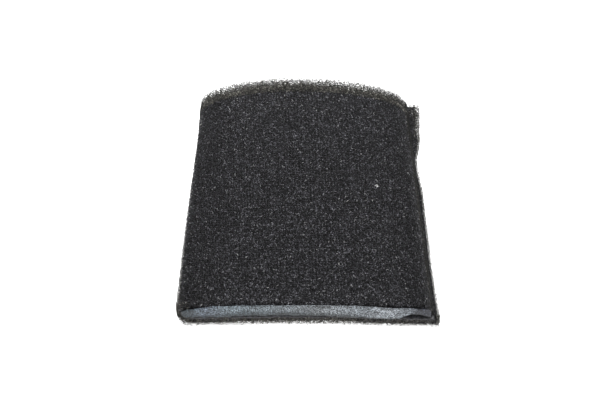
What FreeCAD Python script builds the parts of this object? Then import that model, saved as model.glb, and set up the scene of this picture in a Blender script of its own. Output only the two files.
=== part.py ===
import FreeCAD, Part
import math
import os

# A foam sleeve air filter: one sheet of open-cell foam folded round into a sock that slips over a
# filter cage. It lies flat on its back leaf. +Y runs from the closed end to the open mouth, +X points
# to the glued side seam, +Z up through the front leaf. Millimetres. The origin is the middle of the
# footprint, on the surface that the sleeve lies on.

# Driving dimensions
FOAM = 10.0             # thickness of the foam sheet
LENGTH = 220.0          # closed end to mouth
HALF_WIDTH = 96.3       # half of the flattened width, fold to raw edge
MOUTH_RISE = 20.8       # how far the front leaf arches up at its crest
CREST = 180.0           # distance from the closed end at which the front leaf stops climbing
GLUE = 0.4              # thickness of an adhesive line
END_SEAM = 12.0         # depth of the glued closed end
SIDE_SEAM = 7.0         # width of the glued side seam
SKIN = 0.6              # thickness of the adhesive skin on the front leaf's end face
END_LEAN = 4.0          # how far that end face leans back over the leaf's thickness
CORNER = 7.0            # plan radius of the closed end's corner on the fold side
DRAW_IN = 6.2           # how far the fold draws in at the mouth, where the leaf above it arches up

# Where the two raw edges of the sheet lie along the side seam, from the closed end to the mouth:
# (fraction of the length, x). The back leaf's edge draws in behind the seam and flares at the mouth.
FRONT_EDGE = ((0.0, 91.8), (1.0, 84.9))
BACK_EDGE = ((0.0, 96.2), (0.28, 93.8), (0.54, 92.7), (0.70, 90.0), (0.84, 94.4), (1.0, 96.3))

# Sizes that follow from those
FLAT = 2 * FOAM + GLUE                  # height where the two leaves lie tight together
PARTING = FOAM + GLUE                   # underside of the front leaf where it is glued down
EDGE_LIP = 1.5                          # height left on the front leaf's squeezed raw edge
EDGE_SLOPE = 6.0                        # width over which that edge slopes down
FOLD_OPENING = 2.2                      # how much the fold's radius grows from closed end to mouth
SPARE = 1.0                             # foam left below the footprint until it is planed off
HANDLE = 0.25                           # arch handle length, as a share of the arch's span
HANDLE_LIFT = 0.375                     # how much of a handle's height a cubic arch gains at its middle
FOLD_SHARE = 0.52                       # share of the arch's lift that comes from the fold side
DRAW_IN_EASE = 1.5                      # the fold draws in by this power of how far the sleeve is open
STRAIGHT_CLIMB = 0.65                   # share of the front leaf's climb that is straight, the rest eased


def between(stations, share):
    """Value at a fraction of the length, easing from one station to the next."""
    for (low, first), (high, last) in zip(stations, stations[1:]):
        if share <= high:
            turn = (share - low) / (high - low)
            if len(stations) > 2:
                turn = (1 - math.cos(math.pi * turn)) / 2
            return first + (last - first) * turn
    return stations[-1][1]


def opening(y):
    """0 where the leaves are glued together, 1 from the crest to the mouth."""
    turn = min(max((y - END_SEAM) / (CREST - END_SEAM), 0.0), 1.0)
    eased = turn * turn * (3 - 2 * turn)
    return STRAIGHT_CLIMB * turn + (1 - STRAIGHT_CLIMB) * eased


def bezier(*points):
    curve = Part.BezierCurve()
    curve.setPoles(list(points))
    return curve.toShape()


def sheet_section(y):
    """Closed outline of the folded sheet, cut across the sleeve at y from the closed end."""
    share = y / LENGTH
    rise = MOUTH_RISE * opening(y)
    fold_x = -HALF_WIDTH + DRAW_IN * opening(y) ** DRAW_IN_EASE
    radius = FLAT / 2 + FOLD_OPENING * opening(y)
    front_x = between(FRONT_EDGE, share)
    back_x = between(BACK_EDGE, share)

    def at(x, z):
        return FreeCAD.Vector(x, y - LENGTH / 2, z)

    # The arch leaves the fold at one slope and comes down to the seam at another.
    centre_x = fold_x + radius
    seam_x = front_x - EDGE_SLOPE
    handle = HANDLE * (seam_x - centre_x)
    lift = rise / (HANDLE_LIFT * handle)
    fold_angle = math.asin(FOLD_SHARE * lift)
    seam_angle = math.asin((1 - FOLD_SHARE) * lift)

    def fold_point(r, angle):
        return at(centre_x - r * math.sin(angle), radius + r * math.cos(angle))

    def arch(r, seam_end):
        start = fold_point(r, fold_angle)
        leave = at(math.cos(fold_angle), math.sin(fold_angle)) - at(0, 0)
        land = at(math.cos(seam_angle), -math.sin(seam_angle)) - at(0, 0)
        return bezier(start, start + leave * handle, seam_end - land * handle, seam_end)

    def fold(r):
        middle = (math.pi + fold_angle) / 2
        return Part.Arc(fold_point(r, math.pi), fold_point(r, middle), fold_point(r, fold_angle)).toShape()

    outer_end = at(seam_x, FLAT)
    edge_top = at(front_x, PARTING + EDGE_LIP)
    edge_foot = at(front_x, PARTING)
    inner_end = at(front_x - SIDE_SEAM, PARTING)
    inner_radius = radius - FOAM
    edges = [
        Part.LineSegment(at(back_x, -SPARE), at(centre_x, -SPARE)).toShape(),
        Part.LineSegment(at(centre_x, -SPARE), at(centre_x, 0)).toShape(),
        fold(radius),
        arch(radius, outer_end),
        Part.LineSegment(outer_end, edge_top).toShape(),
        Part.LineSegment(edge_top, edge_foot).toShape(),
        Part.LineSegment(edge_foot, inner_end).toShape(),
        arch(inner_radius, inner_end),
        fold(inner_radius),
        Part.LineSegment(fold_point(inner_radius, math.pi), at(back_x, FOAM)).toShape(),
        Part.LineSegment(at(back_x, FOAM), at(back_x, -SPARE)).toShape(),
    ]
    return Part.Wire(edges)


def block(low, high):
    size = [b - a for a, b in zip(low, high)]
    return Part.makeBox(*size, FreeCAD.Vector(*low))


def prism_along_x(profile):
    """A solid right across the sleeve with this outline of (y from the closed end, z) points."""
    points = [FreeCAD.Vector(-2 * HALF_WIDTH, y - LENGTH / 2, z) for y, z in profile]
    face = Part.Face(Part.makePolygon(points + points[:1]))
    return face.extrude(FreeCAD.Vector(4 * HALF_WIDTH, 0, 0))


def slab(profile, low, high):
    """A flat layer from low to high with this plan outline of (x, y from the closed end) points."""
    points = [FreeCAD.Vector(x, y - LENGTH / 2, low) for x, y in profile]
    face = Part.Face(Part.makePolygon(points + points[:1]))
    return face.extrude(FreeCAD.Vector(0, 0, high - low))


def folded_sheet():
    """The whole sheet before its end face is dressed: flat under, rounded at the fold side's corner."""
    steps = 9
    clear = [END_SEAM + (LENGTH - END_SEAM) * i / steps for i in range(1, steps + 1)]
    stations = [0.0, END_SEAM / 2, END_SEAM] + clear
    loft = Part.makeLoft([sheet_section(y) for y in stations], True, False)
    reach = 2 * HALF_WIDTH
    below = block((-reach, -LENGTH, -2 * FOAM), (reach, LENGTH, 0))
    corner_x = -HALF_WIDTH + CORNER
    corner_y = -LENGTH / 2 + CORNER
    corner = block((-reach, -LENGTH, -FOAM), (corner_x, corner_y, 3 * FOAM))
    post = Part.makeCylinder(CORNER, 4 * FOAM, FreeCAD.Vector(corner_x, corner_y, -FOAM))
    return loft.cut(below).cut(corner.cut(post))


def end_seam_glue():
    left = -HALF_WIDTH + FLAT / 2
    right_near = between(FRONT_EDGE, 0)
    right_far = between(FRONT_EDGE, END_SEAM / LENGTH)
    plan = [(left, 0), (right_near, 0), (right_far, END_SEAM), (left, END_SEAM)]
    return slab(plan, FOAM, PARTING)


def side_seam_glue():
    near = between(FRONT_EDGE, END_SEAM / LENGTH)
    far = between(FRONT_EDGE, 1)
    plan = [(near - SIDE_SEAM, END_SEAM), (near, END_SEAM), (far, LENGTH), (far - SIDE_SEAM, LENGTH)]
    return slab(plan, FOAM, PARTING)


def end_face(depth):
    """Everything in front of the front leaf's leaning end face, taken depth into the foam."""
    top = FLAT + FOAM
    lean = END_LEAN * (top - PARTING) / FOAM
    return prism_along_x([(-FOAM, PARTING), (depth, PARTING), (depth + lean, top), (-FOAM, top)])


def build():
    sheet = folded_sheet()
    end_glue = end_seam_glue()
    side_glue = side_seam_glue()
    skin = sheet.cut(end_face(0)).common(end_face(SKIN))
    sleeve = sheet.cut(end_face(SKIN)).cut(end_glue).cut(side_glue)
    return {
        "foam_sleeve": sleeve,
        "side_seam_glue": side_glue,
        "end_seam_glue": end_glue,
        "end_face_glue_skin": skin,
    }


os.makedirs("parts", exist_ok=True)
for name, shape in build().items():
    shape.exportStep(f"parts/{name}.step")
    box = shape.optimalBoundingBox()
    print(name, len(shape.Solids), shape.isValid(), round(shape.Volume),
          [round(v, 2) for v in (box.XMin, box.YMin, box.ZMin, box.XMax, box.YMax, box.ZMax)])
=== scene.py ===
import math

import bpy
import numpy as np
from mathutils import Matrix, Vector


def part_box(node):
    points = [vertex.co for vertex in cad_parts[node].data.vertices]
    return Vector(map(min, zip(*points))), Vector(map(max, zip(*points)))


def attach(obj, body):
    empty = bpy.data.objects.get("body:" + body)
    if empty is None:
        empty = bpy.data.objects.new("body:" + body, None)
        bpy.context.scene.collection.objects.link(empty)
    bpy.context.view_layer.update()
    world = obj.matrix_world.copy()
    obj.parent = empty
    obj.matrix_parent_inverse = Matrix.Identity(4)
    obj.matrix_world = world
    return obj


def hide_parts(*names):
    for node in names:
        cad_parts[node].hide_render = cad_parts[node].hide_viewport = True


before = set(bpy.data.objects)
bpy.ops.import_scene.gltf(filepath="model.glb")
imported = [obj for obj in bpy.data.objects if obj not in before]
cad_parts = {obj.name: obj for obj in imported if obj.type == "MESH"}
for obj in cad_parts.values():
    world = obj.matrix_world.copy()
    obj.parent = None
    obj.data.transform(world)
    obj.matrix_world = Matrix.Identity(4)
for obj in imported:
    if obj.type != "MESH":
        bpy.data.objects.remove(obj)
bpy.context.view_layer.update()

# A foam sleeve air filter lying on its back leaf on a white light table. The foam is a dense core
# with open cells of fine struts wherever it shows, and its glue is separate pieces. Lengths are
# millimetres in the CAD frame until a mesh is made, and metres in Blender.
MM = 0.001

# ---------------------------------------------------------------- sizes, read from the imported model
sleeve_low, sleeve_high = (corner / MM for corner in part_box("foam_sleeve"))
side_low, side_high = (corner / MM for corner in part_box("side_seam_glue"))
end_low, end_high = (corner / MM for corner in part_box("end_seam_glue"))

FOAM = side_low.z                       # thickness of the foam sheet
PARTING = side_high.z                   # underside of the front leaf where it is glued down
FLAT = FOAM + PARTING                   # height where the two leaves lie tight together
NEAR = sleeve_low.y                     # the closed end
LENGTH = sleeve_high.y - sleeve_low.y
HALF_WIDTH = -sleeve_low.x
END_SEAM = end_high.y - NEAR
FRONT_EDGE_NEAR = end_high.x            # the front leaf's raw edge at the closed end

# The rest of the folded sheet's shape, as in the CAD model
SIDE_SEAM = 7.0                         # width of the glued side seam
FRONT_EDGE_FAR = side_low.x + SIDE_SEAM
BACK_EDGE = ((0.0, 96.2), (0.28, 93.8), (0.54, 92.7), (0.70, 90.0), (0.84, 94.4), (1.0, 96.3))
MOUTH_RISE = 20.8
CREST = 180.0                           # distance from the closed end where the front leaf is highest
END_LEAN = 4.0                          # how far the front leaf's end face leans back
DRAW_IN = 6.2
DRAW_IN_EASE = 1.5
FOLD_OPENING = 2.2
HANDLE = 0.25
HANDLE_LIFT = 0.375
FOLD_SHARE = 0.52
STRAIGHT_CLIMB = 0.65
EDGE_SLOPE = 6.0
EDGE_LIP = 1.5

# Soft shape that the CAD solid leaves out
BOW = 1.6                               # how far the closed end bows in between its corners
BULGE = 0.8                             # how far its seam-side half stands out again
CORNER = 8.0                            # plan radius of its corner on the fold side
BULGE_FROM, BULGE_TO = 10, 60           # x between which that begins
UNEVEN = 0.45                           # slow unevenness of the front leaf
UNEVEN_SIZE = 34.0                      # size of its humps
EASE = 45.0                             # length over which the closed end's shape dies away

# The sheet laid out flat, from the back leaf's raw edge round the fold to the front leaf's raw edge.
BACK_LEAF = 180.0
FOLD = 26.0
ARCH = 168.0
SLOPE = 8.0
FOLD_MIDDLE = BACK_LEAF + FOLD / 2
ARCH_START = BACK_LEAF + FOLD
ARCH_MIDDLE = ARCH_START + ARCH / 2
SLOPE_START = ARCH_START + ARCH
SHEET_WIDTH = SLOPE_START + SLOPE
SHEET = np.array([SHEET_WIDTH, LENGTH, FOAM])


# ---------------------------------------------------------------- noise
def hashed(cells, seed):
    """Three numbers from 0 to 1 for each row of whole-number cell coordinates. The large numbers only
    scatter the bits."""
    a = cells.astype(np.int64)
    n = a[:, 0] * 73856093 ^ a[:, 1] * 19349663 ^ a[:, 2] * 83492791 ^ seed * 2654435761
    out = []
    for turn in range(3):
        n = (n ^ (n >> 13)) * 1274126177 + turn * 97
        n = n & 0x7FFFFFFF
        out.append(((n >> 7) & 0xFFFF) / 65535.0)
    return np.stack(out, 1)


def nearest_cell(points, size, seed):
    """The nearest of one random point per cell of this size: (distance to it in cells, its cell)."""
    at = points / size
    home = np.floor(at).astype(np.int64)
    best = np.full(len(points), 9.0)
    found = home.copy()
    for step in np.ndindex(3, 3, 3):
        cell = home + np.array(step) - 1
        away = np.linalg.norm(cell + hashed(cell, seed) - at, axis=1)
        nearer = away < best
        best[nearer] = away[nearer]
        found[nearer] = cell[nearer]
    return best, found


def soft_noise(points, size, seed):
    """Smooth noise from -1 to 1 with features of this size."""
    at = points / size
    home = np.floor(at).astype(np.int64)
    part = at - home
    part = part * part * (3 - 2 * part)
    total = np.zeros(len(points))
    for step in np.ndindex(2, 2, 2):
        weight = np.prod(np.where(step, part, 1 - part), axis=1)
        total += weight * hashed(home + np.array(step), seed)[:, 0]
    return 2 * total - 1


def smooth(low, high, x):
    """0 below low, 1 above high, eased between."""
    turn = np.clip((x - low) / (high - low), 0, 1)
    return turn * turn * (3 - 2 * turn)


# ---------------------------------------------------------------- the folded sheet
def along_length(stations, share):
    """The value at each fraction of the length, eased from one station to the next."""
    out = np.full(np.shape(share), float(stations[0][1]))
    for (low, first), (high, last) in zip(stations, stations[1:]):
        turn = np.clip((share - low) / (high - low), 0, 1)
        out = out + (last - first) * (1 - np.cos(np.pi * turn)) / 2
    return out


def opening(y):
    """0 where the leaves are glued together, 1 from the crest to the mouth."""
    turn = np.clip((y - END_SEAM) / (CREST - END_SEAM), 0, 1)
    return STRAIGHT_CLIMB * turn + (1 - STRAIGHT_CLIMB) * turn * turn * (3 - 2 * turn)


def sheet_faces(across, along):
    """Outer and inner face of the folded sheet at every along and across, (rows, columns, 3) each."""
    y = along[:, None]
    s = across[None, :]
    share = y / LENGTH
    rise = MOUTH_RISE * opening(y)
    fold_x = -HALF_WIDTH + DRAW_IN * opening(y) ** DRAW_IN_EASE
    radius = FLAT / 2 + FOLD_OPENING * opening(y)
    front_x = FRONT_EDGE_NEAR + (FRONT_EDGE_FAR - FRONT_EDGE_NEAR) * share
    back_x = along_length(BACK_EDGE, share)
    centre_x = fold_x + radius
    seam_x = front_x - EDGE_SLOPE
    handle = HANDLE * (seam_x - centre_x)
    lift = rise / (HANDLE_LIFT * handle)
    fold_angle = np.arcsin(FOLD_SHARE * lift)
    seam_angle = np.arcsin((1 - FOLD_SHARE) * lift)

    back_turn = np.clip(s / BACK_LEAF, 0, 1)
    fold_turn = np.clip((s - BACK_LEAF) / FOLD, 0, 1)
    arch_turn = np.clip((s - ARCH_START) / ARCH, 0, 1)
    slope_turn = np.clip((s - SLOPE_START) / SLOPE, 0, 1)
    angle = math.pi + (fold_angle - math.pi) * fold_turn

    def around_fold(r, turn):
        return centre_x - r * np.sin(turn), radius + r * np.cos(turn)

    def arch(r, end_x, end_z):
        """A cubic arch from the end of the fold to the seam."""
        x0, z0 = around_fold(r, fold_angle)
        x1, z1 = x0 + handle * np.cos(fold_angle), z0 + handle * np.sin(fold_angle)
        x2, z2 = end_x - handle * np.cos(seam_angle), end_z + handle * np.sin(seam_angle)
        t = arch_turn
        a, b, c, d = (1 - t) ** 3, 3 * t * (1 - t) ** 2, 3 * t * t * (1 - t), t ** 3
        return a * x0 + b * x1 + c * x2 + d * end_x, a * z0 + b * z1 + c * z2 + d * end_z

    def face(r, back_z, end_x, end_z, lip_z):
        """One face of the sheet: back leaf, fold, arch, and the slope down to the raw edge."""
        parts = [(back_x + (centre_x - back_x) * back_turn, back_z),
                 around_fold(r, angle),
                 arch(r, end_x, end_z),
                 (end_x + (front_x - end_x) * slope_turn, end_z + (lip_z - end_z) * slope_turn)]
        stretch = np.searchsorted([BACK_LEAF, ARCH_START, SLOPE_START], across)[None, :]
        x, z = (sum(np.where(stretch == k, part[axis], 0) for k, part in enumerate(parts))
                for axis in (0, 1))
        return np.stack([x, np.broadcast_to(y, x.shape), z], 2)

    outer = face(radius, 0.0, seam_x, FLAT, PARTING + EDGE_LIP)
    inner = face(radius - FOAM, FOAM, front_x - SIDE_SEAM, PARTING, PARTING)
    return outer, inner


def soften_across(table, first, reach):
    """Rounds the creases that run along the sleeve, from this column on, by two running means."""
    for _ in range(2):
        padded = np.pad(table, ((0, 0), (reach, reach), (0, 0)), mode="reflect", reflect_type="odd")
        mean = sum(padded[:, k:k + table.shape[1]] for k in range(2 * reach + 1)) / (2 * reach + 1)
        table[:, first:] = mean[:, first:]


TABLE_COLUMNS = int(SHEET_WIDTH) + 1    # one per millimetre, and so are the rows
TABLE_ROWS = int(LENGTH) + 1
table_outer, table_inner = sheet_faces(np.linspace(0, SHEET_WIDTH, TABLE_COLUMNS),
                                       np.linspace(0, LENGTH, TABLE_ROWS))
soften_across(table_outer, int(ARCH_MIDDLE), 2)


def looked_up(table, s, y):
    """The table's points at s across and y along the flat sheet."""
    row = np.clip(y / LENGTH, 0, 1) * (TABLE_ROWS - 1)
    column = np.clip(s / SHEET_WIDTH, 0, 1) * (TABLE_COLUMNS - 1)
    r = np.minimum(row.astype(int), TABLE_ROWS - 2)
    c = np.minimum(column.astype(int), TABLE_COLUMNS - 2)
    fr, fc = (row - r)[:, None], (column - c)[:, None]
    low = table[r, c] * (1 - fc) + table[r, c + 1] * fc
    high = table[r + 1, c] * (1 - fc) + table[r + 1, c + 1] * fc
    return low * (1 - fr) + high * fr


def end_shift(x, z):
    """How far the closed end's face lies inside the end plane: it leans, bows and rounds its corner."""
    lean = END_LEAN * np.clip((z - PARTING) / FOAM, 0, 1.05)
    bow = BOW * (1 - (x / HALF_WIDTH) ** 2) - BULGE * smooth(BULGE_FROM, BULGE_TO, x)
    gap = np.clip(CORNER - HALF_WIDTH - x, 0, CORNER)
    corner = CORNER - np.sqrt(CORNER ** 2 - gap ** 2)
    return lean + bow + corner


def placed(sheet_points):
    """Points of the flat sheet (across, along from the closed end, through) on the folded sleeve."""
    s, y, t = sheet_points.T
    outer = looked_up(table_outer, s, y)
    inner = looked_up(table_inner, s, y)
    p = inner + (outer - inner) * (t / FOAM)[:, None]
    p[:, 1] = NEAR + y + end_shift(p[:, 0], p[:, 2]) * (1 - smooth(0, EASE, y))
    p[:, 2] += UNEVEN * soft_noise(p, UNEVEN_SIZE, 3) * smooth(PARTING, FLAT, p[:, 2])
    return p


# ---------------------------------------------------------------- meshes
def new_mesh(name, points, faces, uv, attributes=()):
    """An object from points in millimetres, faces as rows of equal length and a UV for each point."""
    mesh = bpy.data.meshes.new(name)
    loops = faces.ravel().astype(np.int32)
    mesh.vertices.add(len(points))
    mesh.vertices.foreach_set("co", (points * MM).astype(np.float32).ravel())
    mesh.loops.add(len(loops))
    mesh.loops.foreach_set("vertex_index", loops)
    mesh.polygons.add(len(faces))
    mesh.polygons.foreach_set("loop_start", np.arange(0, len(loops), faces.shape[1], dtype=np.int32))
    mesh.update(calc_edges=True)
    mesh.uv_layers.new(name="OFBake").uv.foreach_set("vector", uv[loops].astype(np.float32).ravel())
    for label, values in attributes:
        mesh.attributes.new(label, "FLOAT", "POINT").data.foreach_set("value", values.astype(np.float32))
    mesh.validate()
    mesh.polygons.foreach_set("use_smooth", np.ones(len(mesh.polygons), bool))
    obj = bpy.data.objects.new(name, mesh)
    bpy.context.scene.collection.objects.link(obj)
    return obj


def steps_between(stops):
    """Values from the first stop through each next (value, step size), evenly spaced between stops."""
    values = [stops[0][0]]
    for (start, _), (end, size) in zip(stops, stops[1:]):
        count = max(1, round((end - start) / size))
        values += [start + (end - start) * k / count for k in range(1, count + 1)]
    return np.array(values)


def box_skin(a, b, c):
    """The skin of a box as one closed grid: (points, quads) over the values a, b and c of its axes."""
    on = np.zeros((len(a), len(b), len(c)), bool)
    on[[0, -1]] = True
    on[:, [0, -1]] = True
    on[:, :, [0, -1]] = True
    where = np.argwhere(on)
    index = np.full(on.shape, -1)
    index[on] = np.arange(len(where))
    points = np.stack([a[where[:, 0]], b[where[:, 1]], c[where[:, 2]]], 1)

    def quads(side, flip):
        q = np.stack([side[:-1, :-1], side[1:, :-1], side[1:, 1:], side[:-1, 1:]], -1).reshape(-1, 4)
        return q[:, ::-1] if flip else q

    faces = [quads(index[:, :, -1], False), quads(index[:, :, 0], True),
             quads(index[:, 0], False), quads(index[:, -1], True),
             quads(index[0], True), quads(index[-1], False)]
    return points, np.concatenate(faces)


def normals_of(points, quads):
    a, b, c, d = (points[quads[:, k]] for k in range(4))
    face = np.cross(c - a, d - b)
    out = np.stack([np.bincount(quads.ravel(), np.repeat(face[:, k], 4), len(points)) for k in range(3)], 1)
    return out / np.maximum(np.linalg.norm(out, axis=1), 1e-9)[:, None]


# ---------------------------------------------------------------- the foam's dense core
OPEN_RIM = 12.0             # depth of see-through foam at the front leaf's mouth
OPEN_BACK_RIM = 2.0         # and at the back leaf's
OPEN_END = 3.0              # and at the closed end of the back leaf, away from its corners
END_OPENS, END_CLOSES = (45, 75), (130, 165)    # where across the sheet it gets that deep and back
OPEN_EDGE = 1.6             # and behind the adhesive film and at the two raw edges
OPEN_EAR = 4.0              # and where the back leaf's raw edge flares out beside the mouth
EAR = (LENGTH - 46, LENGTH - 24)        # the stretch over which it gets that deep
OPEN_UNDER = 0.1            # and on the back leaf's underside
OPEN_FOLD = 2.0             # and round the outside of the fold
OPEN_FACE = 0.7             # and on the front leaf's outer face
TIP = 5.0                   # rounding of the core towards the mouth
EDGE_TIP = 2.0              # rounding of its other cut edges
SQUARENESS = 2.6            # power of the rounding: 2 is round, more is squarer
CELL = 2.0                  # size of the foam's cells
PIT = 0.4                   # depth of the pits that the cells leave in the core
PIT_MOUTH = (0.65, 0.05)    # distances from a cell's point, in cells, where its pit starts and is deepest
GRAIN = 0.82                # size of the specks that the foam's facets make
CORE_STEP = 1.1             # spacing of the core's grid
BACK_STEP = 2.2             # and on the back leaf, which lies hidden
BACK_EDGE_BAND = 18         # except this near its raw edge
WELL_INSIDE = 0.95          # share of the way to the core's surface that counts as inside it


def open_depth(s):
    """Depth of open cells under the outer face: deeper round the fold than on the arch, hardly any below."""
    fold = (OPEN_FOLD - OPEN_FACE) * smooth(FOLD / 2, FOLD / 4, np.abs(s - FOLD_MIDDLE))
    return OPEN_UNDER + (OPEN_FACE + fold - OPEN_UNDER) * smooth(BACK_LEAF - 10, BACK_LEAF, s)


def core_limits(p):
    """Lowest and highest corner of the core and the rounding of its edges, for points of the sheet."""
    s, y, _ = p.T
    zero = np.zeros(len(p))
    raw_edge = OPEN_EDGE + (OPEN_EAR - OPEN_EDGE) * smooth(*EAR, y)
    end = OPEN_EDGE + (OPEN_END - OPEN_EDGE) * smooth(*END_OPENS, s) * (1 - smooth(*END_CLOSES, s))
    rim = OPEN_BACK_RIM + (OPEN_RIM - OPEN_BACK_RIM) * smooth(BACK_LEAF, FOLD_MIDDLE, s)
    low = np.stack([raw_edge, end, zero], 1)
    high = np.stack([zero + SHEET_WIDTH - OPEN_EDGE, LENGTH - rim, zero + FOAM], 1)
    tip = np.stack([zero + EDGE_TIP, np.where(y > LENGTH / 2, TIP, EDGE_TIP), zero + FOAM / 2], 1)
    return low, high, tip


def core_shape(p):
    """Turns points on the skin of the sheet's box into points on the rounded core inside it."""
    # The back leaf's core is shorter than its sheet, so its limits belong to where each point ends up.
    low, high, tip = core_limits(p * (1, 1 - OPEN_BACK_RIM / LENGTH, 1))
    p = low + p / SHEET * (high - low)
    middle = np.clip(p, low + tip, high - tip)
    away = (p - middle) / tip
    size = (np.abs(away) ** SQUARENESS).sum(1) ** (1 / SQUARENESS)
    scale = np.where(size > 0, np.abs(away).max(1) / np.maximum(size, 1e-9), 1.0)
    p = middle + away * scale[:, None] * tip
    p[:, 2] -= open_depth(p[:, 0]) * smooth(0, FOAM, p[:, 2])
    return p


def inside_core(p):
    """True for points of the flat sheet that lie well inside the core."""
    low, high, tip = core_limits(p)
    away = (p - np.clip(p, low + tip, high - tip)) / tip
    under_face = p[:, 2] < FOAM - open_depth(p[:, 0])
    return ((np.abs(away) ** SQUARENESS).sum(1) < WELL_INSIDE) & under_face & (p[:, 2] > PIT)


def foam_core():
    across = steps_between([(0, 0), (BACK_EDGE_BAND, CORE_STEP), (BACK_LEAF, BACK_STEP),
                            (SHEET_WIDTH, CORE_STEP)])
    along = steps_between([(0, 0), (LENGTH, CORE_STEP)])
    through = steps_between([(0, 0), (FOAM, 1.0)])
    box_points, quads = box_skin(across, along, through)
    sheet_points = core_shape(box_points)
    points = placed(sheet_points)
    pore, _ = nearest_cell(points, CELL, 11)
    points = points - normals_of(points, quads) * (PIT * smooth(*PIT_MOUTH, pore))[:, None]
    # The outer face takes most of the map, and the front leaf most of its height.
    outer_map, inner_map = (0.01, 0.71), (0.72, 0.99)
    on_inner = box_points[:, 2] < FOAM / 2
    u = np.where(on_inner, np.interp(box_points[:, 1], (0, LENGTH), inner_map),
                 np.interp(box_points[:, 1], (0, LENGTH), outer_map))
    v = np.interp(box_points[:, 0], (0, BACK_LEAF, SHEET_WIDTH), (0.01, 0.26, 0.99))
    uv = np.stack([u, v], 1)
    # The shade attribute carries the painted shade and painted light of shade_at into the core's colour.
    core = new_mesh("foam_core", points, quads, uv, [("shade", shade_at(points))])
    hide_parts("foam_sleeve")
    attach(core, "root")
    return core


# ---------------------------------------------------------------- the foam's open cells
STRUT = 0.32                # width of a strut on a face
EDGE_STRUT = 0.36           # and at a cut edge, where whole specks of foam are left out
EAR_STRUT = 0.22            # and at the back leaf's raw edge and round the fold
EDGE_GAPS = 0.43            # share of the specks left out at a cut edge
DEEP_STRUT = 1.0            # how much wider an edge's struts get, as a share, deep inside it
CLUMP = 0.75                # share of a strut's shade and width that it has from its speck of foam
WIDTH_SPREAD = 0.25         # how much struts of one speck differ in width, as a share
ROUNDING = 0.8              # rounding of the sheet's cut edges
JITTER = 0.32               # how far a cell's corner strays on a face, in cells
EDGE_JITTER = 0.22          # and at a cut edge
TONES = 16                  # the struts' map is this many squares each way, one per shade
QUARTERS = 4                # cell corners lie on quarters of a cell


def cell_struts(low, high, seed, jitter):
    """Corners and (first, second) pairs of the struts of truncated octahedral cells filling a box."""
    corner = set()
    for order in ((0, 1, 2), (0, 2, 1), (1, 0, 2), (1, 2, 0), (2, 0, 1), (2, 1, 0)):
        for sign_a, sign_b in ((1, 1), (1, -1), (-1, 1), (-1, -1)):
            steps = (0, sign_a, 2 * sign_b)
            corner.add(tuple(steps[k] for k in order))
    corner = np.array(sorted(corner))
    first, second = np.nonzero(np.triu(((corner[:, None] - corner) ** 2).sum(2) == 2))
    counts = np.ceil((high - low) / CELL).astype(int) + 1
    home = np.stack(np.meshgrid(*[np.arange(n) for n in counts], indexing="ij"), -1).reshape(-1, 1, 3)
    centres = np.concatenate([home * QUARTERS, home * QUARTERS + 2])
    ends = np.stack([centres + corner[first], centres + corner[second]], 2).reshape(-1, 3)
    # Corners that neighbouring cells share become one point, and shared struts one pair.
    span = ends.max(0) - ends.min(0) + 1
    offset = ends - ends.min(0)
    key = (offset[:, 0] * span[1] + offset[:, 1]) * span[2] + offset[:, 2]
    _, where, number = np.unique(key, return_index=True, return_inverse=True)
    corners = ends[where]
    pairs = np.sort(number.reshape(-1, 2), axis=1)
    pair_key = np.unique(pairs[:, 0] * len(corners) + pairs[:, 1])
    pairs = np.stack([pair_key // len(corners), pair_key % len(corners)], 1)
    stray = (hashed(corners, seed) - 0.5) * 2 * jitter
    return low + (corners / QUARTERS + stray) * CELL, pairs


def struts_mesh(name, starts, ends, tone, width, draw):
    """A piece of thin four-sided struts, each a stretched wedge, with its shade's square of the map."""
    axis = ends - starts
    axis /= np.maximum(np.linalg.norm(axis, axis=1), 1e-6)[:, None]
    # Two directions across each strut, square to each other and turned at random.
    helper = np.where(np.abs(axis[:, 2:]) < 0.8, (0.0, 0.0, 1.0), (1.0, 0.0, 0.0))
    side = np.cross(axis, helper)
    side /= np.linalg.norm(side, axis=1)[:, None]
    turn = draw.uniform(0, math.pi, (len(starts), 1))
    side = side * np.cos(turn) + np.cross(axis, side) * np.sin(turn)
    other = np.cross(axis, side)
    width = width[:, None] * draw.uniform(1 - WIDTH_SPREAD, 1 + WIDTH_SPREAD, (len(starts), 1))
    points = np.stack([starts + side * width / 2, starts - side * width / 2,
                       ends + other * width / 2, ends - other * width / 2], 1).reshape(-1, 3)
    wedge = np.array([(0, 1, 2), (0, 2, 3), (1, 0, 3), (1, 3, 2)])
    faces = (np.arange(len(starts))[:, None, None] * 4 + wedge).reshape(-1, 3)
    shade = np.minimum((tone * TONES ** 2).astype(int), TONES ** 2 - 1)
    square = np.stack([shade % TONES, shade // TONES], 1)[:, None, :]
    inset = 0.2
    spot = np.array([(inset, inset), (1 - inset, inset), (1 - inset, 1 - inset), (inset, 1 - inset)])
    uv = ((square + spot) / TONES).reshape(-1, 2)
    piece = new_mesh(name, points, faces, uv, [("tone", np.repeat(shade / (TONES ** 2 - 1), 4))])
    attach(piece, "root")
    print(name, len(starts), "struts")
    return piece
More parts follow.
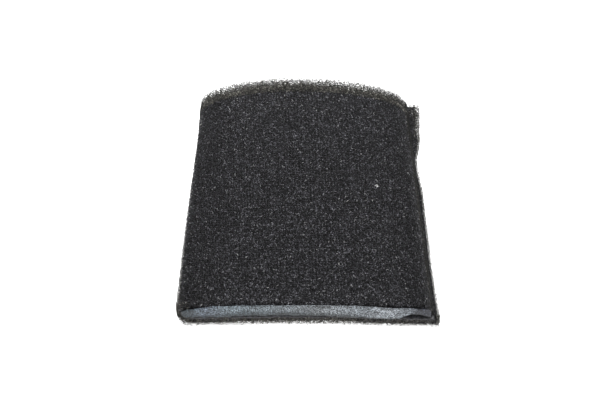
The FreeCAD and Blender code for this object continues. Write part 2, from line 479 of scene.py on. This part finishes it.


# Painted shade and painted light on the foam, by place: shares lost or gained, and where
SIDE_SHADE = 0.23                 # painted shade lost at the sides, where they curve away from the light
SIDE_SHADE_FROM, SIDE_SHADE_TO = 0.55, 0.85         # between these shares of the half width
RIDGE, RIDGE_PLACE = 0.14, 4.4          # painted highlight gained on the ridge, this far inside the front leaf's raw edge
RIDGE_EDGES = (2.0, 0.4)    # how far from it its shade begins and is full
CREASE, CREASE_PLACE = 0.8, 0.6         # painted shade lost in the crease, this far inside it
CREASE_EDGES = (2.2, 0.5)
END_LIGHT = 0.6             # painted light gained at the closed end's lower edge, where the light table shines up through it
END_LIGHT_DEPTH = (5.0, 1.5)            # how far inside the end plane it begins and is full
END_LIGHT_HEIGHT = (FOAM, FOAM - 2)     # and how high
PINCH_DARK, PINCH_LIGHT = 0.7, 1.5      # painted shade lost on the pinched line and painted highlight gained on the ridge beside it
PINCH = 10.5                # how far inside the mouth the pinched line lies
PINCH_X = (70.0, 74.0)      # where it begins across the sleeve
PINCH_RIDGE = 2.4           # from the line to the ridge beside it
PINCH_EDGES = (1.2, 0.3)    # how far from either line its shade begins and is full
DARKEST = 0.05              # least shade that a strut's tone is worked out from
LINT = (54.0, 1.5)          # x and y of a white fleck of lint caught in the front leaf
LINT_SIZE = 1.1
LINT_WIDTH = 3              # width of the struts in it, in struts


def front_edge_x(y):
    """x of the front leaf's raw edge at y in the CAD frame."""
    return FRONT_EDGE_NEAR + (FRONT_EDGE_FAR - FRONT_EDGE_NEAR) * (y - NEAR) / LENGTH


def shade_at(p):
    """How light the foam looks by place, all of it painted shade and painted light: painted shade at the
    sides, where they curve away from the light, and in the crease along the seam, a painted highlight on the
    ridge beside it, painted light where light comes up through the closed end's lower edge, and painted
    shade and a painted highlight on a pinched line across the mouth's corner at the seam."""
    x, y, z = p.T
    side_shade = SIDE_SHADE * smooth(SIDE_SHADE_FROM, SIDE_SHADE_TO, np.abs(x) / HALF_WIDTH)
    past_seam = x - front_edge_x(y)
    ridge = RIDGE * smooth(*RIDGE_EDGES, np.abs(past_seam + RIDGE_PLACE))
    crease = CREASE * smooth(*CREASE_EDGES, np.abs(past_seam + CREASE_PLACE))
    from_mouth = LENGTH - (y - NEAR)
    corner = smooth(*PINCH_X, x) * smooth(2, 0, past_seam)
    # Painted shade on the pinched line and a painted highlight on the ridge beside it.
    pinch = PINCH_DARK * corner * smooth(*PINCH_EDGES, np.abs(from_mouth - PINCH))
    pinch_highlight = PINCH_LIGHT * corner * smooth(*PINCH_EDGES, np.abs(from_mouth - PINCH - PINCH_RIDGE))
    end_light = END_LIGHT * smooth(*END_LIGHT_DEPTH, y - NEAR) * smooth(*END_LIGHT_HEIGHT, z)
    return (1 - side_shade) * (1 + ridge + pinch_highlight + end_light) * (1 - crease) * (1 - pinch)


def open_cells(name, low, high, seed, keep, edge=None):
    """The open cells in one box of the flat sheet, where keep(midpoints) is true. At a cut edge, edge is
    (function for the midpoints' depth inside it, depth at which its struts widen, width before that)."""
    low, high = np.array(low, float), np.array(high, float)
    corners, pairs = cell_struts(low, high, seed, EDGE_JITTER if edge else JITTER)
    middle = corners[pairs].mean(1)
    within = ((middle >= low) & (middle < high)).all(1)
    beyond = np.linalg.norm(middle - np.clip(middle, ROUNDING, SHEET - ROUNDING), axis=1)
    kept = within & (beyond < ROUNDING) & keep(middle)
    pairs, middle = pairs[kept], middle[kept]
    speck = hashed(nearest_cell(middle, GRAIN, seed)[1], seed)
    if edge:
        inward, deep, thin = edge
        depth = inward(middle)
        filled = speck[:, 2] > EDGE_GAPS * (1 - smooth(deep - 1, deep + 1, depth))
        pairs, speck, depth = pairs[filled], speck[filled], depth[filled]
    draw = np.random.default_rng(seed)
    # Struts of one speck share most of their shade and width: most are dark, a few are painted light as
    # glints.
    shade = CLUMP * speck[:, 0] + (1 - CLUMP) * draw.uniform(0, 1, len(pairs))
    points = placed(corners)
    starts, ends = points[pairs[:, 0]], points[pairs[:, 1]]
    place = (starts + ends) / 2
    # Painted shade and painted light from shade_at darken or lighten each strut's tone.
    tone = np.clip(shade, 0, 1) ** (1 / np.maximum(shade_at(place), DARKEST))
    lint = np.linalg.norm(place[:, :2] - LINT, axis=1) < LINT_SIZE
    tone = np.where(lint, 1.0, tone)
    width = np.where(lint, LINT_WIDTH * STRUT, STRUT)
    if edge:
        width = thin * (1 + DEEP_STRUT * smooth(deep - 2, deep + 1, depth))
    width *= 1 - CLUMP / 2 + CLUMP * speck[:, 1]
    return struts_mesh(name, starts, ends, tone, width, draw)


def outside_core(p):
    return ~inside_core(p)


def over_core(p):
    return p[:, 2] > FOAM - open_depth(p[:, 0])


def foam_cells():
    """Every patch of open cells: the cut rims, the raw edges, the fold and the front leaf's outer face."""
    rim = OPEN_RIM + TIP
    edge = OPEN_EDGE + EDGE_TIP
    end = OPEN_END + EDGE_TIP
    ear = OPEN_EAR + EDGE_TIP
    strip = 13.0                # the back leaf's inner face that shows beyond the front leaf's edge
    fold_foot = BACK_LEAF + 4   # where the fold's cells begin and end, round the sleeve's side
    fold_top = FOLD_MIDDLE + 6
    face = FOAM - max(OPEN_FOLD, OPEN_FACE) - 0.2
    # At each cut edge: depth inside it, depth at which its struts widen, their width before that.
    mouth = (lambda p: LENGTH - p[:, 1], OPEN_RIM - 3, EDGE_STRUT)
    closed_end = (lambda p: p[:, 1], OPEN_END, EDGE_STRUT)
    back_edge = (lambda p: p[:, 0], OPEN_EAR, EAR_STRUT)
    fold_face = (lambda p: FOAM - p[:, 2], OPEN_FOLD, EAR_STRUT)
    return [
        open_cells("mouth_cells_fold_side", (FOLD_MIDDLE, LENGTH - rim, 0), (ARCH_MIDDLE, LENGTH, FOAM),
                   21, outside_core, mouth),
        open_cells("mouth_cells_seam_side", (ARCH_MIDDLE, LENGTH - rim, 0), (SHEET_WIDTH, LENGTH, FOAM),
                   22, outside_core, mouth),
        open_cells("mouth_cells_back_leaf", (ear, LENGTH - rim, 0), (FOLD_MIDDLE, LENGTH, FOAM),
                   23, outside_core, mouth),
        open_cells("closed_end_cells", (0, 0, 0), (ARCH_START, end, FOAM), 24, outside_core, closed_end),
        open_cells("raw_edge_cells_back", (0, end, 0), (ear, LENGTH, FOAM), 25, outside_core,
                   back_edge),
        open_cells("raw_edge_cells_front", (SHEET_WIDTH - edge, edge, 0),
                   (SHEET_WIDTH, LENGTH - rim, FOAM), 26, outside_core),
        open_cells("seam_strip_cells", (edge, end, 0), (strip, LENGTH - rim, PIT),
                   27, lambda p: p[:, 2] < PIT),
        open_cells("fold_cells", (fold_foot, 0, face), (fold_top, LENGTH - rim, FOAM),
                   30, over_core, fold_face),
        open_cells("front_leaf_cells_fold_side", (fold_top, 0, face),
                   (ARCH_MIDDLE, LENGTH - rim, FOAM), 28, over_core),
        open_cells("front_leaf_cells_seam_side", (ARCH_MIDDLE, 0, face),
                   (SHEET_WIDTH - edge, LENGTH - rim, FOAM), 29, over_core),
    ]


# ---------------------------------------------------------------- glue
FILM_LEFT, FILM_RIGHT = -92.0, 88.9     # ends of the adhesive film on the front leaf's end face
FILM = 0.35                             # its thickness
FILM_EDGE = 0.4                         # share of that thickness at its upper and lower edge
FILM_ROOT = 0.3                         # how far its back reaches into the foam
PUCKER, LONG_PUCKER = 0.15, 0.21        # height of its fine puckers and of those that run up the face
FILM_DROP = 0.8                         # how far below the leaf's face its upper edge lies
FILM_SINK, SINK_FROM, SINK_TO = 0.9, 38, 62         # more than that towards the seam, between these x
FILM_FALL = 1.4                         # slope of its upper edge where the raw edge slopes down
FILM_TIP_DROP, FILM_TIP = 2.4, 28       # its upper edge's drop at the fold side, and over what length
FILM_WAVE, FILM_RAG = 0.12, 0.45        # how uneven its upper and its lower edge are
# (x, height of the film's lower edge above the joint)
FILM_FOOT = ((-92, 2.4), (-88, 0.6), (-66, 0.4), (-46, 1.6), (-20, 1.4), (0, 1.0), (20, 0.6), (40, 0.0),
             (58, -0.4), (66, 0.0), (75, 3.8), (82, 3.2), (89, 1.2))
# (x, share of the film's height, from the bottom, over which it is dimmed by painted shade)
FILM_DIM = ((-90, 0.3), (-66, 0.25), (-46, 0.7), (-10, 0.5), (25, 0.3), (45, 0.15), (89, 0.15))


def film_outline(x):
    """Lowest and highest z of the adhesive film at each x: crisp above, ragged below, following the
    fold's round end at one side and the slope to the raw edge at the other."""
    line = np.stack([x, x * 0, x * 0], 1)
    top = FLAT - FILM_DROP - FILM_SINK * smooth(SINK_FROM, SINK_TO, x)
    top = np.minimum(top, FLAT - (x - (FRONT_EDGE_NEAR - EDGE_SLOPE)) * FILM_FALL)
    past_fold_centre = np.maximum(FLAT / 2 - HALF_WIDTH - x, 0)
    round_top = np.sqrt(np.maximum((FLAT / 2 - FILM_DROP) ** 2 - past_fold_centre ** 2, 0))
    top = np.minimum(top, FLAT / 2 + round_top)
    top -= FILM_TIP_DROP * smooth(FILM_LEFT + FILM_TIP, FILM_LEFT, x) - FILM_WAVE * soft_noise(line, 5.0, 5)
    low = PARTING + np.interp(x, *zip(*FILM_FOOT)) + FILM_RAG * soft_noise(line, 2.2, 6)
    return low, np.maximum(top, low + 0.4)


def adhesive_film():
    """The pale skin of dried adhesive over the front leaf's leaning end face."""
    u = steps_between([(FILM_LEFT, 0), (FILM_RIGHT, 0.45)])
    v = steps_between([(0, 0), (1, 0.04)])
    points, quads = box_skin(u, v, np.array([0.0, 1.0]))
    x, share, front = points.T
    low, high = film_outline(x)
    z = low + (high - low) * share
    y = NEAR + end_shift(x, z)
    flat = np.stack([x, z, x * 0], 1)
    pucker = PUCKER * soft_noise(flat, 1.6, 8) + LONG_PUCKER * soft_noise(flat * (1, 0.25, 1), 2.2, 9)
    thick = FILM * (FILM_EDGE + (1 - FILM_EDGE) * np.minimum(1, 12 * share * (1 - share)))
    y += np.where(front > 0.5, -thick, FILM_ROOT) + pucker
    # The film's front and back each take half of its map.
    uv = np.stack([(x - FILM_LEFT) / (FILM_RIGHT - FILM_LEFT) * 0.98 + 0.01,
                   np.where(front > 0.5, 0.02, 0.55) + 0.42 * share], 1)
    # Its thin attribute carries the painted shade towards the film's lower edge.
    film = new_mesh("end_face_glue_film", np.stack([x, y, z], 1), quads[:, ::-1], uv,
                    [("along", (x - FILM_LEFT) / (FILM_RIGHT - FILM_LEFT)),
                     ("thin", 1 - share / np.interp(x, *zip(*FILM_DIM)))])
    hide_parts("end_face_glue_skin")
    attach(film, "root")
    return film


SOAK = 0.25                             # how far the joints' adhesive soaks into each leaf
SQUEEZE = 0.5                           # how far it squeezes out of a joint at most
SEEP = 1.5                              # how far its inner edge strays


def glue_line(name, node, along, depth, place):
    """The adhesive in one joint: place(along, inwards) gives its x and y, inwards from the raw edge."""
    across = steps_between([(0, 0), (1, 0.06)])
    points, quads = box_skin(across, along, np.array([0.0, 1.0]))
    share, run, top = points.T
    flat = np.stack([run, share * depth, run * 0], 1)
    squeezed = SQUEEZE * soft_noise(flat * (1, 0, 0), 2.4, 12)
    ragged = SEEP * soft_noise(flat * (1, 0, 0), 3.1, 13)
    inwards = -squeezed * (1 - share) + (depth + ragged) * share
    x, y = place(run, inwards)
    soak = SOAK * (0.6 + 0.4 * soft_noise(flat, 1.4, 14))
    z = np.where(top > 0.5, PARTING + soak, FOAM - soak)
    uv = np.stack([np.interp(run, (along[0], along[-1]), (0.01, 0.99)), 0.02 + 0.45 * share + 0.5 * top], 1)
    line = new_mesh(name, np.stack([x, y, z], 1), quads, uv)
    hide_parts(node)
    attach(line, "root")
    return line


def glue_lines():
    side_along = steps_between([(NEAR + END_SEAM, 0), (NEAR + LENGTH - SQUEEZE, 0.8)])
    end_along = steps_between([(end_low.x, 0), (end_high.x, 0.8)])
    return [
        glue_line("side_seam_glue_line", "side_seam_glue", side_along, SIDE_SEAM,
                  lambda y, inwards: (front_edge_x(y) - inwards, y)),
        glue_line("end_seam_glue_line", "end_seam_glue", end_along, END_SEAM,
                  lambda x, inwards: (x, NEAR + end_shift(x, np.full(len(x), PARTING)) + inwards)),
    ]


# ---------------------------------------------------------------- materials
def material(name, roughness, specular):
    made = bpy.data.materials.new(name)
    made.use_nodes = True
    shader = made.node_tree.nodes["Principled BSDF"]
    shader.inputs["Roughness"].default_value = roughness
    shader.inputs["Specular IOR Level"].default_value = specular
    return made, made.node_tree.nodes, made.node_tree.links, shader


def ramp_of(nodes, links, value, stops):
    """A colour ramp over (position, colour) stops."""
    ramp = nodes.new("ShaderNodeValToRGB")
    while len(ramp.color_ramp.elements) < len(stops):
        ramp.color_ramp.elements.new(0.5)
    for element, (position, colour) in zip(ramp.color_ramp.elements, stops):
        element.position = position
        element.color = (*colour, 1)
    links.new(value, ramp.inputs["Fac"])
    return ramp.outputs["Color"]


def attribute(nodes, name):
    found = nodes.new("ShaderNodeAttribute")
    found.attribute_name = name
    return found.outputs["Fac"]


def scaled_noise(nodes, links, size, detail=2, roughness=0.5):
    """Noise with features of this size in millimetres, in the object's own coordinates."""
    place = nodes.new("ShaderNodeTexCoord")
    noise = nodes.new("ShaderNodeTexNoise")
    noise.inputs["Scale"].default_value = 1 / (size * MM)
    noise.inputs["Detail"].default_value = detail
    noise.inputs["Roughness"].default_value = roughness
    links.new(place.outputs["Object"], noise.inputs["Vector"])
    return noise.outputs["Fac"]


def scaled_specks(nodes, links, size):
    """Voronoi cells of this size in millimetres: (distance from a cell's point, its random colour)."""
    place = nodes.new("ShaderNodeTexCoord")
    cells = nodes.new("ShaderNodeTexVoronoi")
    cells.inputs["Scale"].default_value = 1 / (size * MM)
    links.new(place.outputs["Object"], cells.inputs["Vector"])
    return cells.outputs["Distance"], cells.outputs["Color"]


def multiplied(nodes, links, first, second):
    mix = nodes.new("ShaderNodeMix")
    mix.data_type = "RGBA"
    mix.blend_type = "MULTIPLY"
    mix.inputs["Factor"].default_value = 1.0
    links.new(first, mix.inputs[6])
    links.new(second, mix.inputs[7])
    return mix.outputs[2]


def bumped(nodes, links, shader, height, strength, distance):
    bump = nodes.new("ShaderNodeBump")
    bump.inputs["Strength"].default_value = strength
    bump.inputs["Distance"].default_value = distance * MM
    links.new(height, bump.inputs["Height"])
    links.new(bump.outputs["Normal"], shader.inputs["Normal"])


def grey(level, tint=(1.0, 1.0, 1.12)):
    return tuple(level * part for part in tint)


def core_material():
    """Dark foam between the open cells: black pores of painted shade and facets of many shades that differ
    at random, each a small speck, the brightest painted as glints, all under the painted shade and light of
    the shade attribute.
    """
    made, nodes, links, shader = material("charcoal_foam_core", 0.7, 0.15)
    distance, random = scaled_specks(nodes, links, GRAIN)
    # The brightest facets are painted glints.
    facet = ramp_of(nodes, links, random,
                    [(0.15, grey(0.003)), (0.5, grey(0.018)), (0.73, grey(0.085)), (0.87, grey(0.37)),
                     (1.0, grey(0.9))])
    # Painted shade in the pores between the facets.
    pore = ramp_of(nodes, links, distance,
                   [(0.1, (1, 1, 1)), (0.45, (0.35, 0.35, 0.35)), (0.7, (0.05, 0.05, 0.05))])
    # Painted shade and painted light from the shade attribute.
    shaded = multiplied(nodes, links, multiplied(nodes, links, facet, pore), attribute(nodes, "shade"))
    links.new(shaded, shader.inputs["Base Color"])
    bumped(nodes, links, shader, pore, 0.7, 0.5)
    return made


def strut_material():
    """Struts of many shades: most charcoal, some grey, a rare one painted bright as a glint where a facet
    shines.
    """
    made, nodes, links, shader = material("charcoal_foam_struts", 0.45, 0.35)
    colour = ramp_of(nodes, links, attribute(nodes, "tone"),
                     [(0.0, grey(0.003)), (0.5, grey(0.018)), (0.75, grey(0.077)), (0.88, grey(0.28)),
                      (0.95, grey(0.62, (1, 1, 1))), (1.0, grey(0.92, (1, 1, 1)))])
    links.new(colour, shader.inputs["Base Color"])
    return made


def cut_edge_material():
    """Struts at a cut edge, browner and paler as painted light where light comes through them, a rare one
    painted bright as a glint.
    """
    made, nodes, links, shader = material("olive_cut_foam", 0.5, 0.3)
    warm = (1.0, 0.965, 0.86)
    colour = ramp_of(nodes, links, attribute(nodes, "tone"),
                     [(0.0, grey(0.009, warm)), (0.5, grey(0.055, warm)), (0.8, grey(0.17, warm)),
                      (0.93, grey(0.38, warm)), (1.0, grey(0.75, warm))])
    links.new(colour, shader.inputs["Base Color"])
    return made


def film_material():
    """Cool grey dried adhesive: satin and finely mottled, with pale flecks, a brighter patch of painted
    reflection, darker towards both tips, and painted shade towards its lower edge.
    """
    made, nodes, links, shader = material("grey_adhesive_film", 0.38, 0.45)
    mottle = scaled_noise(nodes, links, 0.75, detail=3, roughness=0.75)
    colour = ramp_of(nodes, links, mottle,
                     [(0.41, (0.012, 0.014, 0.016)), (0.5, (0.08, 0.088, 0.097)),
                      (0.59, (0.47, 0.51, 0.55))])
    cloud = ramp_of(nodes, links, scaled_noise(nodes, links, 5.0),
                    [(0.35, (0.62, 0.62, 0.62)), (0.65, (1.12, 1.12, 1.12))])
    # Along the film: darker towards both tips, and a painted reflection in the brighter patch towards the
    # seam side.
    along = ramp_of(nodes, links, attribute(nodes, "along"),
                    [(0.0, (0.06, 0.09, 0.1)), (0.04, (0.28, 0.34, 0.38)), (0.1, (0.6, 0.67, 0.78)),
                     (0.2, (0.75, 0.86, 0.9)),
                     (0.55, (0.84, 0.84, 0.83)), (0.72, (0.95, 0.98, 1.0)), (0.83, (1.25, 1.25, 1.25)),
                     (0.9, (0.95, 0.97, 1.0)), (0.95, (0.16, 0.16, 0.2)), (1.0, (0.14, 0.14, 0.18))])
    # Painted shade towards the film's lower edge, carried by the thin attribute.
    foot = ramp_of(nodes, links, attribute(nodes, "thin"),
                   [(0.0, (1, 1, 1)), (0.5, (0.4, 0.42, 0.43)), (1.0, (0.2, 0.2, 0.2))])
    both = multiplied(nodes, links, multiplied(nodes, links, colour, cloud),
                      multiplied(nodes, links, along, foot))
    links.new(both, shader.inputs["Base Color"])
    bumped(nodes, links, shader, mottle, 0.6, 0.3)
    return made


def seam_glue_material():
    """Dark dried adhesive in the joints, grainy where it soaked into the cells."""
    made, nodes, links, shader = material("dark_seam_glue", 0.4, 0.35)
    grain = scaled_noise(nodes, links, 1.1, detail=3)
    colour = ramp_of(nodes, links, grain, [(0.35, grey(0.012)), (0.6, grey(0.05)), (0.75, grey(0.11))])
    links.new(colour, shader.inputs["Base Color"])
    bumped(nodes, links, shader, grain, 0.5, 0.3)
    return made


def paint(obj, finish):
    obj.data.materials.clear()
    obj.data.materials.append(finish)


# ---------------------------------------------------------------- camera, light table and light
def camera():
    """A long lens on the closed end's side, looking down on the sleeve."""
    data = bpy.data.cameras.new("camera")
    obj = bpy.data.objects.new("camera", data)
    bpy.context.scene.collection.objects.link(obj)
    data.lens = 66.1
    data.sensor_width = 36.0
    obj.location = (-0.00575, -0.557, 0.677)
    elevation = math.radians(50)
    obj.rotation_euler = (math.pi / 2 - elevation, 0, 0)
    bpy.context.scene.camera = obj


def light_table():
    """The plain white surface that the sleeve lies on, lit from below."""
    mesh = bpy.data.meshes.new("light_table")
    side = 3.0
    corners = [(-side, -side, 0), (side, -side, 0), (side, side, 0), (-side, side, 0)]
    mesh.from_pydata(corners, [], [(0, 1, 2, 3)])
    obj = bpy.data.objects.new("light_table", mesh)
    bpy.context.scene.collection.objects.link(obj)
    made, _, _, shader = material("white_light_table", 0.8, 0.2)
    shader.inputs["Base Color"].default_value = (0.85, 0.85, 0.85, 1)
    shader.inputs["Emission Color"].default_value = (1, 1, 1, 1)
    shader.inputs["Emission Strength"].default_value = 1.0
    paint(obj, made)


def area_light(name, place, aim, size, power):
    data = bpy.data.lights.new(name, "AREA")
    data.size = size
    data.energy = power
    obj = bpy.data.objects.new(name, data)
    obj.location = place
    obj.rotation_euler = (Vector(aim) - Vector(place)).to_track_quat("-Z", "Y").to_euler()
    bpy.context.scene.collection.objects.link(obj)


def studio_light():
    world = bpy.data.worlds.new("studio")
    bpy.context.scene.world = world
    world.use_nodes = True
    world.node_tree.nodes["Background"].inputs["Color"].default_value = (1, 1, 1, 1)
    world.node_tree.nodes["Background"].inputs["Strength"].default_value = 0.5
    area_light("softbox_behind", (0.0, 0.9, 1.1), (0, 0, 0.02), 0.9, 26)
    area_light("softbox_front", (-0.5, -0.9, 0.9), (0, 0, 0.02), 0.8, 6)
    bpy.context.scene.view_settings.view_transform = "Standard"


camera()
light_table()
studio_light()
paint(foam_core(), core_material())
face_finish = strut_material()
cut_finish = cut_edge_material()
for piece in foam_cells():
    on_face = piece.name.startswith(("front_leaf", "seam_strip"))
    paint(piece, face_finish if on_face else cut_finish)
paint(adhesive_film(), film_material())
seam_glue = seam_glue_material()
for piece in glue_lines():
    paint(piece, seam_glue)
